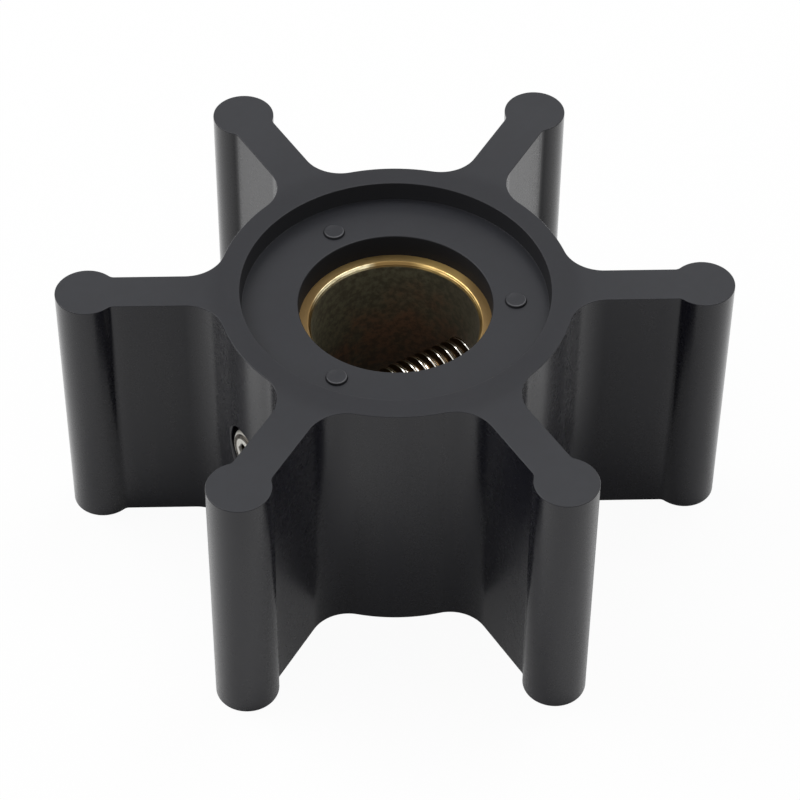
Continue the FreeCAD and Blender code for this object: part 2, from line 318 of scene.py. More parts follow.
class Signal:
    """A socket that takes part in sums, each of which adds a Math node to its tree."""

    def __init__(self, recipe: Recipe, socket: bpy.types.NodeSocket) -> None:
        """Wrap a socket of a recipe's tree."""
        self.recipe = recipe
        self.socket = socket

    def _sum(self, operation: str, first: Value, second: Value) -> Signal:
        """Add one Math node of two values."""
        return self.recipe.node("ShaderNodeMath", {"operation": operation}, {0: first, 1: second})

    def __add__(self, other: Value) -> Signal:
        """Signal plus value."""
        return self._sum("ADD", self, other)

    __radd__ = __add__

    def __sub__(self, other: Value) -> Signal:
        """Signal minus value."""
        return self._sum("SUBTRACT", self, other)

    def __rsub__(self, other: Value) -> Signal:
        """Value minus signal."""
        return self._sum("SUBTRACT", other, self)

    def __mul__(self, other: Value) -> Signal:
        """Signal times value."""
        return self._sum("MULTIPLY", self, other)

    def __truediv__(self, other: Value) -> Signal:
        """Signal over value."""
        return self._sum("DIVIDE", self, other)

    def __pow__(self, other: Value) -> Signal:
        """Signal to a power."""
        return self._sum("POWER", self, other)

    def or_more(self, other: Value) -> Signal:
        """The larger of signal and value."""
        return self._sum("MAXIMUM", self, other)

    def band(self, low: float, high: float, share: float = 1.0) -> Signal:
        """Rise smoothly from 0 at the low value to the share at the high one."""
        return self.recipe.node(
            "ShaderNodeMapRange",
            {"interpolation_type": "SMOOTHSTEP"},
            {"Value": self, "From Min": low, "From Max": high, "To Min": 0.0, "To Max": share},
        )

    def stretch(self, low: float, full: float, fade: float, gone: float) -> Signal:
        """Rise from 0 to 1 between the first two values, and fall back between the last two."""
        return self.band(low, full) - self.band(fade, gone)


@dataclass(frozen=True)
class Noise:
    """Cloudy noise: its blotches' size in millimetres, its finer layers, and how it is squeezed if at all."""

    size: float
    detail: float = 2.0
    roughness: float = 0.5
    squeeze: Direction | None = None


class Recipe:
    """The node tree of one material or world."""

    def __init__(self, tree: bpy.types.NodeTree) -> None:
        """Empty a tree and take it over."""
        self.tree = tree
        self.tree.nodes.clear()

    def node(
        self,
        kind: str,
        settings: Mapping[str, Any] | None = None,
        sockets: Mapping[Union[str, int], Value] | None = None,
        output: Union[str, int] = 0,
    ) -> Signal:
        """Add a node.

        Args:
            kind: The node's type.
            settings: Its own settings, set first.
            sockets: Values or links of its inputs, by name or number.
            output: The output that is handed back.

        Returns:
            The chosen output.
        """
        made = self.tree.nodes.new(kind)
        for name, setting in (settings or {}).items():
            setattr(made, name, setting)
        for key, value in (sockets or {}).items():
            if isinstance(value, Signal):
                self.tree.links.new(value.socket, made.inputs[key])
            else:
                made.inputs[key].default_value = value
        return Signal(self, made.outputs[output])

    def finish(self, kind: str, surface: Signal) -> None:
        """Send a shader to an output node of one type."""
        made = self.tree.nodes.new(kind)
        self.tree.links.new(surface.socket, made.inputs["Surface"])

    def blend(self, amount: Value, first: Value, second: Value) -> Signal:
        """Mix two colours by how much of the second one shows."""
        return self.node(
            "ShaderNodeMix",
            {"data_type": "RGBA", "clamp_factor": True},
            {0: amount, 6: first, 7: second},
            output=2,
        )

    def place(self) -> Signal:
        """The point on the surface, in metres of the part's frame."""
        return self.node("ShaderNodeTexCoord", output="Object")

    def dot(self, vector: Signal, direction: Sequence[float]) -> Signal:
        """Dot product of a vector and a direction."""
        sockets = {0: vector, 1: direction}
        return self.node("ShaderNodeVectorMath", {"operation": "DOT_PRODUCT"}, sockets, output="Value")

    def along(self, at: Signal, direction: Sequence[float]) -> Signal:
        """Distance of a place along a direction, in millimetres."""
        return self.dot(at, [part * PER_METRE for part in direction])

    def from_axis(self, at: Signal, axis: Sequence[float], centre: Sequence[float] = ORIGIN) -> Signal:
        """Distance of a place from a line through a point, both in millimetres."""
        middle = [part * MM for part in centre]
        offset = self.node("ShaderNodeVectorMath", {"operation": "SUBTRACT"}, {0: at, 1: middle})
        across = self.node("ShaderNodeVectorMath", {"operation": "CROSS_PRODUCT"}, {0: offset, 1: axis})
        length = self.node("ShaderNodeVectorMath", {"operation": "LENGTH"}, {0: across}, output="Value")
        return length * PER_METRE

    def noise(self, at: Signal, noise: Noise) -> Signal:
        """A noise at a place."""
        if noise.squeeze:
            at = self.node(
                "ShaderNodeMapping", {"vector_type": "POINT"}, {"Vector": at, "Scale": noise.squeeze}
            )
        scale = PER_METRE / noise.size
        return self.node(
            "ShaderNodeTexNoise",
            {"noise_dimensions": "3D"},
            {"Vector": at, "Scale": scale, "Detail": noise.detail, "Roughness": noise.roughness},
        )

    def bump(self, height: Signal, depth: float, strength: float, over: Signal | None = None) -> Signal:
        """A surface relief of a depth in millimetres and a strength, on top of another one if given."""
        sockets: dict[Union[str, int], Value] = {"Height": height, "Distance": depth * MM}
        sockets["Strength"] = strength
        if over is not None:
            sockets["Normal"] = over
        return self.node("ShaderNodeBump", {}, sockets)


@dataclass(frozen=True)
class Finish:
    """A material with its own nodes."""

    name: str

    def material(self) -> bpy.types.Material:
        """Make the material and lay out its nodes."""
        made = bpy.data.materials.new(self.name)
        made.use_nodes = True
        recipe = Recipe(made.node_tree)
        surface = recipe.node("ShaderNodeBsdfPrincipled", {}, self.surface(recipe))
        recipe.finish("ShaderNodeOutputMaterial", surface)
        return made

    def surface(self, recipe: Recipe) -> dict[Union[str, int], Value]:
        """The values and links of the surface shader."""
        raise NotImplementedError


@dataclass(frozen=True)
class MouldedRubber(Finish):
    """Black moulded rubber: satin on its walls, with dull, paler ends that would rub on a pump's covers,
    painted light and shade on the ends, and painted highlights on the pips' rims.
    """

    name: str = "black_rubber"
    body: Colour = srgb(12, 12, 20)
    bloom_and_painted_light: Colour = srgb(47, 48, 52)
    dull: Colour = srgb(30, 30, 31)
    flowed: Colour = srgb(34, 34, 35)
    # A painted highlight along the front of each pip's rim.
    pip_highlight: Colour = srgb(150, 150, 154)
    cloud: Noise = Noise(4.5, 3.0)
    speck: Noise = Noise(0.45, 3.0, 0.6)
    grain: Noise = Noise(0.16, 2.0, 0.55)
    flow: Noise = Noise(1.4, 2.0, squeeze=(1.0, 1.0, 0.12))
    grain_relief: Band = (0.003, 0.3)
    cloud_relief: Band = (0.05, 0.25)
    # How level a face is before it is an end, and how strong the flow is before it shows, with its share.
    end_level: Band = (0.3, 0.9)
    flow_lines: Band = (0.35, 0.7, 0.12)
    # Radii from the bore axis, with the share of painted light towards the tips; the hub's rim is painted
    # darker as shade.
    recess: Band = (11.66, 11.8)
    rim: Stretch = (11.5, 11.9, 13.0, 14.5)
    web: Stretch = (14.0, 15.5, 20.0, 21.5)
    tip_painted_light: Band = (12.0, 22.0, 0.22)
    # The pips: their angles, the radii of their rims, how far forward the painted highlight on each rim
    # reaches, and how high they are.
    pip_angles: tuple[float, ...] = (90.0, 210.0, 330.0)
    pip_rim: Stretch = (0.67, 0.7, 0.75, 0.78)
    pip_highlight_front: Band = (-0.5, 0.8)
    pip_height: Band = (20.0, 20.5)
    # Shares of the paler colours, with the painted shade at the hub's rim and the painted highlight on the
    # pips.
    end_bloom: float = 0.58
    rim_painted_shade: float = 0.22
    cloud_bloom: float = 0.2
    speck_bloom: float = 0.15
    recess_dull: float = 0.6
    pip_highlight_share: float = 0.3
    # Roughness and coat: of a wall, and what the other places and the noises change.
    rough: float = 0.27
    end_rough: float = 0.13
    recess_rough: float = 0.47
    speck_rough: float = 0.05
    flow_rough: float = 0.04
    coat: float = 0.95
    end_uncoated: float = 0.75
    recess_uncoated: float = 0.9
    web_uncoated: float = 0.25
    coat_rough: float = 0.24
    ior: float = 1.3

    def pip_rim_highlights(self, recipe: Recipe, at: Signal) -> Signal:
        """How far a place is on the painted highlight along the front of a pip's rim, 0 to 1."""
        rims: Value = 0.0
        for degrees in self.pip_angles:
            turn = math.radians(degrees)
            centre = (PIP_CIRCLE * math.cos(turn), PIP_CIRCLE * math.sin(turn), 0.0)
            front = (recipe.along(at, -Y_AXIS) + centre[1]).band(*self.pip_highlight_front)
            rims = recipe.from_axis(at, Z_AXIS, centre).stretch(*self.pip_rim) * front + rims
        return rims * recipe.along(at, Z_AXIS).band(*self.pip_height)

    def surface(self, recipe: Recipe) -> dict[Union[str, int], Value]:
        """The values and links of the surface shader."""
        at = recipe.place()
        cloud = recipe.noise(at, self.cloud)
        speck = recipe.noise(at, self.speck)
        grain = recipe.noise(at, self.grain)
        flow = recipe.noise(at, self.flow)
        normal = recipe.node("ShaderNodeNewGeometry", output="Normal")
        radius = recipe.from_axis(at, Z_AXIS)

        end = (recipe.dot(normal, Z_AXIS) ** 2.0).band(*self.end_level)
        recess = (1.0 - end) * (1.0 - radius.band(*self.recess))
        web = (1.0 - end) * radius.stretch(*self.web)
        # Painted light and shade: the ends are paler towards the vane tips and darker at the hub's rim.
        bloom_and_light_mask = self.end_bloom + radius.band(*self.tip_painted_light) - radius.stretch(*self.rim) * self.rim_painted_shade
        bloom_and_light_mask = end * (bloom_and_light_mask + cloud * self.cloud_bloom + speck * self.speck_bloom)
        colour = recipe.blend(bloom_and_light_mask, self.body, self.bloom_and_painted_light)
        colour = recipe.blend(recess * self.recess_dull, colour, self.dull)
        colour = recipe.blend(flow.band(*self.flow_lines), colour, self.flowed)
        # Painted highlight: a pale stroke along the front of each pip's rim.
        colour = recipe.blend(self.pip_rim_highlights(recipe, at) * self.pip_highlight_share, colour, self.pip_highlight)

        roughness = self.rough + end * self.end_rough + recess * self.recess_rough
        roughness = roughness + (speck - 0.5) * self.speck_rough + (flow - 0.5) * self.flow_rough
        coat = self.coat - end * self.end_uncoated - recess * self.recess_uncoated - web * self.web_uncoated
        relief = recipe.bump(grain, *self.grain_relief)
        relief = recipe.bump(cloud, *self.cloud_relief, relief)
        return {
            "Base Color": colour,
            "Roughness": roughness,
            "Normal": relief,
            "IOR": self.ior,
            "Coat Weight": coat,
            "Coat IOR": self.ior,
            "Coat Roughness": self.coat_rough,
        }


@dataclass(frozen=True)
class TurnedBrass(Finish):
    """Turned brass: fine rings on its end, painted highlights on the chamfer and the end, painted shade at the
    end's sides and low in the bore, and a bore stained olive and brown.
    """

    name: str = "turned_brass"
    metal: Colour = srgb(172, 144, 92)
    # Painted highlights: golden and pale on the chamfer, and a paler brass on the flat end.
    bright: Colour = srgb(250, 214, 140)
    pale: Colour = srgb(254, 242, 200)
    flat_highlight: Colour = srgb(204, 172, 106)
    # Tarnished brass, also painted at the flat end's sides as shade.
    tarnish_and_shade: Colour = srgb(132, 106, 64)
    olive: Colour = srgb(112, 108, 86)
    brown: Colour = srgb(126, 94, 70)
    # Dark brown: the bore's spots and darker side, and its painted shade low down.
    dark: Colour = srgb(56, 50, 40)
    blotch: Noise = Noise(2.2, 4.0, 0.6)
    spots: Noise = Noise(0.5, 3.0, 0.65)
    streaks: Noise = Noise(0.9, 3.0, 0.6, squeeze=(1.0, 1.0, 5.0))
    ring_relief: Band = (0.004, 0.4)
    edge_relief: Band = (0.1, 1.0)
    groove_relief: Band = (0.008, 1.0)
    spot_relief: Band = (0.015, 0.5)
    # Radii from the bore axis: where the bore and the chamfer end, and where their edge is rounded over.
    bore_ends: Band = (6.36, 6.42)
    chamfer_ends: Band = (6.58, 6.63)
    edge_rounds: Band = (6.33, 6.62)
    # The level direction, left to right as the camera sees the part, that the painted highlights and shade and
    # the other marks are measured along. A third number is the share that a mark gives.
    sideways: Direction = (0.849, -0.529, 0.0)
    # The bore's brown patch: its middle and size, each sideways and in height, and its ragged edge.
    patch_middle: Band = (1.4, 9.8)
    patch_size: Band = (5.3, 5.2)
    patch_edge: Band = (-0.2, 2.0)
    patch_blotches: float = 4.0
    patch_spots: float = 2.4
    # What darkens the bore: dark spots, painted shade below a height, and one darker side.
    spots_dark: Band = (0.35, 0.65, 0.6)
    lit_height: float = 13.0
    depth_shade: Band = (0.0, 6.0, 0.3)
    side_dark: Band = (1.0, 6.0, 0.7)
    # The flat end: tarnish in blotches, painted shade at its two sides, by the distance squared, and a painted
    # highlight on one stretch.
    blotch_tarnish: Band = (0.35, 0.75, 0.4)
    side_shade: Band = (18.0, 42.0)
    flat_highlight_stretch: Stretch = (0.5, 3.0, 4.5, 6.0)
    flat_highlight_share: float = 0.8
    # The chamfer's two painted highlights, stretches along the level direction, with what dims each, and their
    # streaks.
    left_stretch: Stretch = (-6.7, -5.6, -2.7, -1.4)
    left_brightens: Band = (-4.4, -3.0, 0.2)
    left_share: float = 1.25
    right_starts: Band = (0.9, 3.2)
    right_dims: Band = (3.9, 5.0, 0.35)
    right_ends: Band = (6.0, 6.6, 0.5)
    right_share: float = 1.05
    unstreaked: float = 0.45
    streaked: Band = (0.35, 0.65, 0.6)
    pale_to_bright: Band = (-1.5, 1.5)
    # Roughness and metal: of the flat end, and what the other places and the spots change.
    rough: float = 0.46
    chamfer_smooth: float = 0.14
    bore_rough: float = 0.22
    spot_rough: float = 0.18
    metallic: float = 0.62
    chamfer_metallic: float = 0.3
    bore_dull: float = 0.3

    @staticmethod
    def marks(recipe: Recipe, at: Signal, kind: str, scale: float, distortion: float) -> Signal:
        """Fine marks of a lathe tool, as RINGS round the bore axis or BANDS along it."""
        return recipe.node(
            "ShaderNodeTexWave",
            {"wave_type": kind, f"{kind.lower()}_direction": "Z", "wave_profile": "SIN"},
            {"Vector": at, "Scale": scale, "Distortion": distortion, "Detail": 2.0},
            output="Fac",
        )

    def stain_and_shade(self, recipe: Recipe, at: Signal, sideways: Signal, blotch: Signal, spots: Signal) -> Signal:
        """The bore's colour: olive with a brown patch, darker in spots and on one side, with painted shade low
        down.
        """
        height = recipe.along(at, Z_AXIS)
        patch = ((sideways - self.patch_middle[0]) / self.patch_size[0]) ** 2.0
        patch = patch + ((height - self.patch_middle[1]) / self.patch_size[1]) ** 2.0
        patch = patch + (blotch - 0.5) * self.patch_blotches + (spots - 0.5) * self.patch_spots
        stain_and_shade = recipe.blend(1.0 - patch.band(*self.patch_edge), self.olive, self.brown)
        stain_and_shade = recipe.blend(spots.band(*self.spots_dark), stain_and_shade, self.dark)
        # Painted shade: the bore darker below a height.
        stain_and_shade = recipe.blend((self.lit_height - height).band(*self.depth_shade), stain_and_shade, self.dark)
        return recipe.blend(sideways.band(*self.side_dark), stain_and_shade, self.dark)

    def flat(self, recipe: Recipe, sideways: Signal, blotch: Signal) -> Signal:
        """The flat end's colour: dull brass, tarnished in blotches, with painted shade at both sides and a
        painted highlight on one stretch.
        """
        flat = recipe.blend(blotch.band(*self.blotch_tarnish), self.metal, self.tarnish_and_shade)
        # Painted shade at both sides of the flat end, and a painted highlight on one stretch.
        flat = recipe.blend((sideways**2.0).band(*self.side_shade), flat, self.tarnish_and_shade)
        return recipe.blend(sideways.stretch(*self.flat_highlight_stretch) * self.flat_highlight_share, flat, self.flat_highlight)

    def chamfer(self, recipe: Recipe, at: Signal, sideways: Signal) -> Signal:
        """The chamfer's colour: tarnished brass with two streaky painted highlights."""
        left = sideways.stretch(*self.left_stretch) + sideways.band(*self.left_brightens)
        left = left - self.left_brightens[2]
        right = sideways.band(*self.right_starts) - sideways.band(*self.right_dims)
        right = right - sideways.band(*self.right_ends)
        streaks = self.unstreaked + recipe.noise(at, self.streaks).band(*self.streaked)
        # Painted highlights: two streaky bright stretches across the chamfer.
        highlights = (left * self.left_share + right * self.right_share) * streaks
        highlight_colour = recipe.blend(sideways.band(*self.pale_to_bright), self.pale, self.bright)
        return recipe.blend(highlights, self.tarnish_and_shade, highlight_colour)

    def surface(self, recipe: Recipe) -> dict[Union[str, int], Value]:
        """The values and links of the surface shader."""
        at = recipe.place()
        radius = recipe.from_axis(at, Z_AXIS)
        sideways = recipe.along(at, self.sideways)
        blotch = recipe.noise(at, self.blotch)
        spots = recipe.noise(at, self.spots)
        in_bore = 1.0 - radius.band(*self.bore_ends)
        on_chamfer = (1.0 - in_bore) * (1.0 - radius.band(*self.chamfer_ends))
        flat = self.flat(recipe, sideways, blotch)
        face = recipe.blend(on_chamfer, flat, self.chamfer(recipe, at, sideways))
        colour = recipe.blend(in_bore, face, self.stain_and_shade(recipe, at, sideways, blotch, spots))

        roughness = self.rough - on_chamfer * self.chamfer_smooth + in_bore * self.bore_rough
        roughness = roughness + (spots - 0.5) * self.spot_rough
        metallic = self.metallic + on_chamfer * self.chamfer_metallic - in_bore * self.bore_dull
        rings = self.marks(recipe, at, "RINGS", 2600.0, 1.5)
        grooves = self.marks(recipe, at, "BANDS", 2100.0, 1.2)
        relief = recipe.bump(rings, *self.ring_relief)
        relief = recipe.bump(1.0 - radius.band(*self.edge_rounds), *self.edge_relief, relief)
        relief = recipe.bump(grooves * on_chamfer, *self.groove_relief, relief)
        relief = recipe.bump(spots, *self.spot_relief, relief)
        return {"Base Color": colour, "Roughness": roughness, "Metallic": metallic, "Normal": relief}


@dataclass(frozen=True)
class ScrewSteel(Finish):
    """Plain steel of a set screw: silver on its crests, darker in the roots of its thread with brown old oil
    and painted shade, and a dark ring on its end.
    """

    name: str = "screw_steel"
    crest: Colour = srgb(248, 246, 238)
    # The roots' colour: brown old oil, darkened further as painted shade in the grooves.
    root: Colour = srgb(92, 74, 52)
    # The dark ring on the end face.
    end_ring_dark: Colour = srgb(38, 33, 30)
    mottle: Noise = Noise(0.8, 3.0, 0.6)
    scratch: Noise = Noise(0.12, 2.0, squeeze=(0.2, 1.0, 1.0))
    scratch_relief: Band = (0.003, 0.3)
    # Distances from the screw's start, and then radii from its axis.
    end_stops: Band = (0.1, 0.35)
    crest_starts: Band = (2.045, 2.07)
    crest_ragged: float = 0.02
    end_ring: Stretch = (1.38, 1.52, 1.74, 1.82)
    # How strong the dark ring is: everywhere and in patches, and how much of the silver it takes.
    ring_share: float = 0.5
    ring_patches: Band = (0.4, 0.6, 0.45)
    ring_dull: float = 0.7
    rough: float = 0.3
    crest_smooth: float = 0.18
    end_rough: float = 0.38
    scratch_rough: float = 0.06
    end_dull: float = 0.45

    def surface(self, recipe: Recipe) -> dict[Union[str, int], Value]:
        """The values and links of the surface shader."""
        at = recipe.place()
        radius = recipe.from_axis(at, X_AXIS, (0.0, 0.0, SCREW_MIDDLE))
        mottle = recipe.noise(at, self.mottle)
        scratch = recipe.noise(at, self.scratch)
        end_face = 1.0 - (recipe.along(at, X_AXIS) - SCREW_START).band(*self.end_stops)
        ring = end_face * radius.stretch(*self.end_ring)
        crest = (radius + (mottle - 0.5) * self.crest_ragged).band(*self.crest_starts)
        crest = crest.or_more(end_face) - ring * self.ring_dull
        # Silver crests against darker roots: brown old oil, and painted shade in the thread's grooves.
        colour = recipe.blend(crest, self.root, self.crest)
        # A dark ring on the end face, in patches.
        colour = recipe.blend(ring * (self.ring_share + mottle.band(*self.ring_patches)), colour, self.end_ring_dark)
        roughness = self.rough - crest * self.crest_smooth + end_face * self.end_rough
        roughness = roughness + (scratch - 0.5) * self.scratch_rough
        relief = recipe.bump(scratch, *self.scratch_relief)
        metallic = 1.0 - end_face * self.end_dull
        return {"Base Color": colour, "Roughness": roughness, "Metallic": metallic, "Normal": relief}


@dataclass
class RubberMoulding:
    """The rubber moulding: hub, straight vanes with bulbs, recesses, lips, pips and the access hole."""

    tip_radius: float = 25.4
    width: float = 22.2
    vanes: int = 6
    half_vane: float = 1.6
    bulb_radius: float = 2.375
    root_fillet: float = 3.0
    bulb_blend: float = 0.6
    hub_radius: float = 13.4
    recess_radius: float = 11.64
    floor_radius: float = 11.53
    recess_depth: float = 1.55
    recess_corner: float = 0.04
    lip_radius: float = 7.3
    lip_round: float = 0.12
    bush_inset: float = 3.5
    bush_radius: float = 9.0
    edge_round: float = 0.07
    access_radius: float = 2.425
    access_round: float = 0.3
    access_turn: float = 80.0
    pips: int = 3
    pip_radius: float = 0.79
    pip_height: float = 0.2
    crease: float = 40.0
    # Steps along half of the hub's arc, a root, a bulb's blend, half of a bulb, and half of a sector.
    hub_steps: int = 12
    root_steps: int = 18
    blend_steps: int = 7
    bulb_steps: int = 30
    sector_steps: int = 24
    pip_steps: int = 40
    flare_steps: int = 6
    finish: Finish = field(default_factory=MouldedRubber)

    @property
    def bulb_centre(self) -> float:
        """Distance of a bulb's centre from the bore axis."""
        return self.tip_radius - self.bulb_radius

    @property
    def half_sector(self) -> float:
        """Angle from a vane to the middle of the gap beside it, in degrees."""
        return 180.0 / self.vanes

    def build(self) -> bpy.types.Object:
        """Shape the moulding.

        Returns:
            The finished object.
        """
        piece = Workpiece()
        self._half_vane_and_gap(piece)
        bmesh.ops.mirror(
            piece.bm, geom=piece.everything(), axis="X", merge_dist=MERGE, matrix=Matrix.Identity(4)
        )
        piece.merge()
        piece.repeat_round(self.vanes - 1, 360.0 - 2.0 * self.half_sector)
        piece.merge()
        piece.outward()
        self._round_rims(piece)
        thing = piece.as_object("rubber_moulding")
        shape_with(thing, self._access_cutter(), Cut.TAKE_AWAY)
        self._add_pips(thing)
        smooth_object(thing, self.crease)
        wear(thing, self.finish)
        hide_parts("impeller_rubber")
        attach(thing, "root")
        return thing

    def _half_vane_and_gap(self, piece: Workpiece) -> None:
        """Draw one half of a vane with half of the gap beside it: end faces, outer wall and core."""
        top = self.width
        axis = (0.0, 0.0, top)
        reach = self.hub_radius + self.root_fillet
        side = self.half_vane + self.root_fillet
        fillet_y = math.sqrt(reach**2 - side**2)
        fillet_turn = math.degrees(math.atan2(fillet_y, side))
        hub_turn = fillet_turn - (90.0 - self.half_sector)
        neck = self.half_vane + self.bulb_blend
        neck_y = self.bulb_centre - math.sqrt((self.bulb_radius + self.bulb_blend) ** 2 - neck**2)
        neck_turn = math.degrees(math.atan2(self.bulb_centre - neck_y, neck))
        gap = Matrix.Rotation(math.radians(-self.half_sector), 3, "Z") @ Y_AXIS

        start = piece.point(gap * self.hub_radius + Z_AXIS * top)
        at = piece.arc(start, axis, hub_turn, self.hub_steps)
        at = piece.arc(at, (side, fillet_y, top), -fillet_turn, self.root_steps)
        at = piece.line(at, (self.half_vane, neck_y, top))
        at = piece.arc(at, (neck, neck_y, top), -neck_turn, self.blend_steps)
        at = piece.arc(at, (0.0, self.bulb_centre, top), 90.0 + neck_turn, self.bulb_steps)
        outline = piece.bm.edges[:]

        at = piece.line(at, (0.0, self.recess_radius, top))
        at = piece.arc(at, axis, -self.half_sector, self.sector_steps)
        piece.line(at, start.co)
        piece.merge()
        cap = bmesh.ops.contextual_create(piece.bm, geom=piece.bm.edges[:])["faces"]
        other = bmesh.ops.duplicate(piece.bm, geom=cap)["geom"]
        piece.shift(other, -Z_AXIS * top)
        wall = bmesh.ops.extrude_edge_only(piece.bm, edges=outline)["geom"]
        piece.shift(wall, -Z_AXIS * top)

        upper = [
            (self.recess_radius, 0.0),
            (self.floor_radius, self.recess_depth),
            (self.lip_radius, self.recess_depth),
            (self.lip_radius, self.bush_inset),
            (self.bush_radius, self.bush_inset),
        ]
        section = [(r, top - depth) for r, depth in upper] + [(r, depth) for r, depth in reversed(upper)]
        core = piece.path([gap * r + Z_AXIS * z for r, z in section])
        piece.turn(core, self.sector_steps, self.half_sector)
        piece.merge()

    def _round_rims(self, piece: Workpiece) -> None:
        """Round the rims of the end faces, the recess corners and the lips, before the access hole is cut."""

        def inset(vert: BMVert) -> float:
            """How far in from the nearer end a vertex lies."""
            return min(abs(vert.co.z), abs(vert.co.z - self.width))

        def floor_ring(edge: BMEdge, radius: float) -> bool:
            """Does this edge run round the bore at that radius, on the floor of either recess?"""
            return all(
                abs(math.hypot(v.co.x, v.co.y) - radius) < 2.0 * NEAR
                and abs(inset(v) - self.recess_depth) < NEAR
                for v in edge.verts
            )

        def rim(edge: BMEdge) -> bool:
            """Is this edge between an end face and the outer wall or the recess?"""
            steep = len(edge.link_faces) == 2 and edge.calc_face_angle(0.0) > 1.0
            return steep and all(inset(v) < NEAR for v in edge.verts)

        piece.round_edges(lambda e: floor_ring(e, self.floor_radius), self.recess_corner, 2)
        piece.round_edges(lambda e: floor_ring(e, self.lip_radius), self.lip_round, 3)
        piece.round_edges(rim, self.edge_round, 3)

    def _access_cutter(self) -> Workpiece:
        """A drill for the access hole, flared where it meets the hub's round outside."""
        tool = Workpiece()
        middle = self.width / 2
        inner_x = -self.bush_radius + 1.0
        outer_x = -self.hub_radius - 2.5
        flare_x = -self.hub_radius + self.access_round
        flare_r = self.access_radius + self.access_round
        away = math.radians(self.access_turn)
        start = tool.point((inner_x, 0.0, middle))
        at = tool.line(start, (inner_x, 0.0, middle + self.access_radius))
        at = tool.line(at, (flare_x, 0.0, middle + self.access_radius))
        at = tool.arc(at, (flare_x, 0.0, middle + flare_r), self.access_turn, self.flare_steps, Y_AXIS)
        at = tool.line(at, at.co + Vector((-math.cos(away), 0.0, math.sin(away))) * 0.35)
        at = tool.line(at, (outer_x, 0.0, at.co.z))
        tool.line(at, (outer_x, 0.0, middle))
        tool.turn(tool.bm.edges[:], TOOL_STEPS, 360.0, (0.0, 0.0, middle), X_AXIS)
        tool.merge()
        for vert in tool.bm.verts:
            if vert.co.x < flare_x - MERGE:
                vert.co.x += self.hub_radius - math.sqrt(max(self.hub_radius**2 - vert.co.y**2, 1.0))
        tool.outward()
        return tool

    def _add_pips(self, thing: bpy.types.Object) -> None:
        """Stand the pips on the upper recess's floor, in line with every other vane."""
        pips = Workpiece()
        floor = self.width - self.recess_depth
        dish, sunk = 0.012, 0.03
        # Each corner is out from the pip's radius and up from the recess's floor.
        rim = [
            (-0.16, self.pip_height - dish),
            (-0.12, self.pip_height),
            (-0.08, self.pip_height),
            (-0.03, self.pip_height - 0.025),
            (0.0, self.pip_height - 0.07),
            (0.05, 0.0),
            (0.05, -sunk),
        ]
        profile = [(0.0, self.pip_height - dish)]
        profile += [(self.pip_radius + out, up) for out, up in rim]
        profile += [(0.0, -sunk)]
        edges = pips.path([(r, PIP_CIRCLE, floor + z) for r, z in profile])
        pips.turn(edges, self.pip_steps, 360.0, (0.0, PIP_CIRCLE, floor))
        pips.merge()
        pips.repeat_round(self.pips - 1, 360.0 - 360.0 / self.pips)
        pips.outward()
        pips.to_metres()
        pips.bm.from_mesh(thing.data)
        pips.bm.to_mesh(thing.data)
        pips.bm.free()


@dataclass
class BrassBush:
    """The turned brass bush, chamfered at both mouths and tapped right across for the screw."""

    bore_radius: float = 6.35
    outer_radius: float = 9.0
    chamfer: float = 0.24
    chamfer_depth: float = 0.45
    broken_edge: float = 0.045
    low: float = 3.5
    high: float = 18.7
    tapped_radius: float = 2.115
    steps_round: int = 180
    crease: float = 32.0
    finish: Finish = field(default_factory=TurnedBrass)

    def build(self) -> bpy.types.Object:
        """Turn the ring, break its edges and tap it.

        Returns:
            The finished object.
        """
        piece = Workpiece()
        mouth = self.bore_radius + self.chamfer
        outline = [
            (self.bore_radius, self.low + self.chamfer_depth),
            (mouth, self.low),
            (self.outer_radius, self.low),
            (self.outer_radius, self.high),
            (mouth, self.high),
            (self.bore_radius, self.high - self.chamfer_depth),
        ]
        edges = piece.path([(r, 0.0, z) for r, z in outline], closed=True)
        piece.turn(edges, self.steps_round)
        piece.merge()
        piece.outward()

        def at_mouth(edge: BMEdge) -> bool:
            """Is this edge on a ring where a chamfer meets an end face?"""
            return edge.calc_face_angle(0.0) > 0.5 and all(
                math.hypot(v.co.x, v.co.y) < mouth + 10.0 * NEAR for v in edge.verts
            )

        piece.round_edges(at_mouth, self.broken_edge, 2)
        thing = piece.as_object("turned_bush")
        shape_with(thing, self._tap(), Cut.TAKE_AWAY)
        smooth_object(thing, self.crease)
        wear(thing, self.finish)
        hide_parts("brass_bush")
        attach(thing, "root")
        return thing

    def _tap(self) -> Workpiece:
        """The tapped hole's space, right across the bush."""
        reach = self.outer_radius + 1.0
        outline = [(-reach, 0.0), (-reach, self.tapped_radius), (reach, self.tapped_radius), (reach, 0.0)]
        return turned_bar(outline, (self.low + self.high) / 2)


